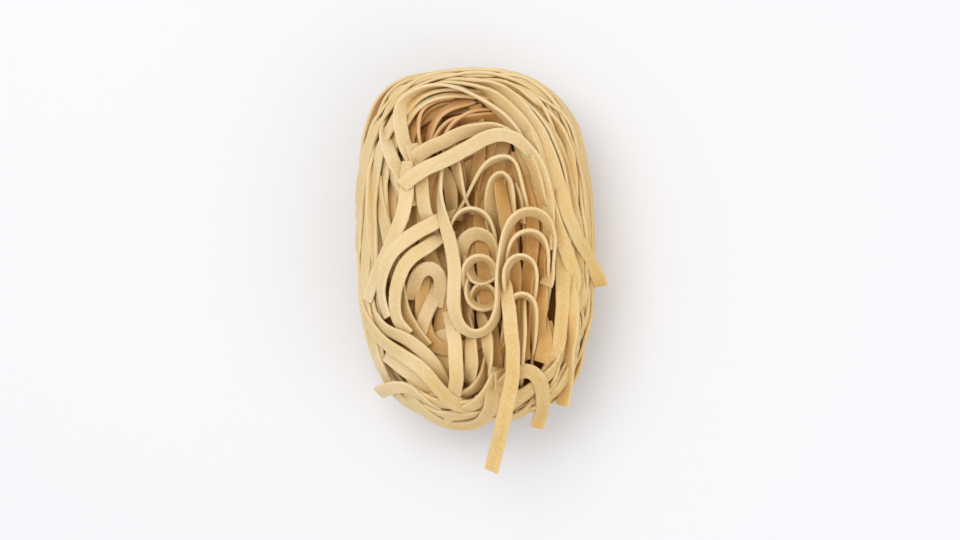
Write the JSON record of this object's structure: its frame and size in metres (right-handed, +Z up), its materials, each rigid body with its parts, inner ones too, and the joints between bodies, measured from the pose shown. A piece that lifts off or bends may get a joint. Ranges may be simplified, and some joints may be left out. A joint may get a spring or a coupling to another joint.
{
  "type": "dry pasta nest",
  "caption": "Oval nest of dried flat pasta strands wound round a shallow hollow, with one strand end hanging over an end and one sticking out at a side; stands on a flat underside.",
  "frame": {"origin": "middle of the footprint at the surface the nest stands on", "axes": "+Y along the length of the nest, the hanging strand end towards -Y; +Z up; +X to the right seen from above with +Y away"},
  "size_m": [0.0696, 0.1104, 0.0404],
  "materials": {
    "dried_pasta": "matt, floury, pale straw yellow"
  },
  "bodies": {
    "root": {"pasta_nest": "dried_pasta"}
  },
  "joints": []
}
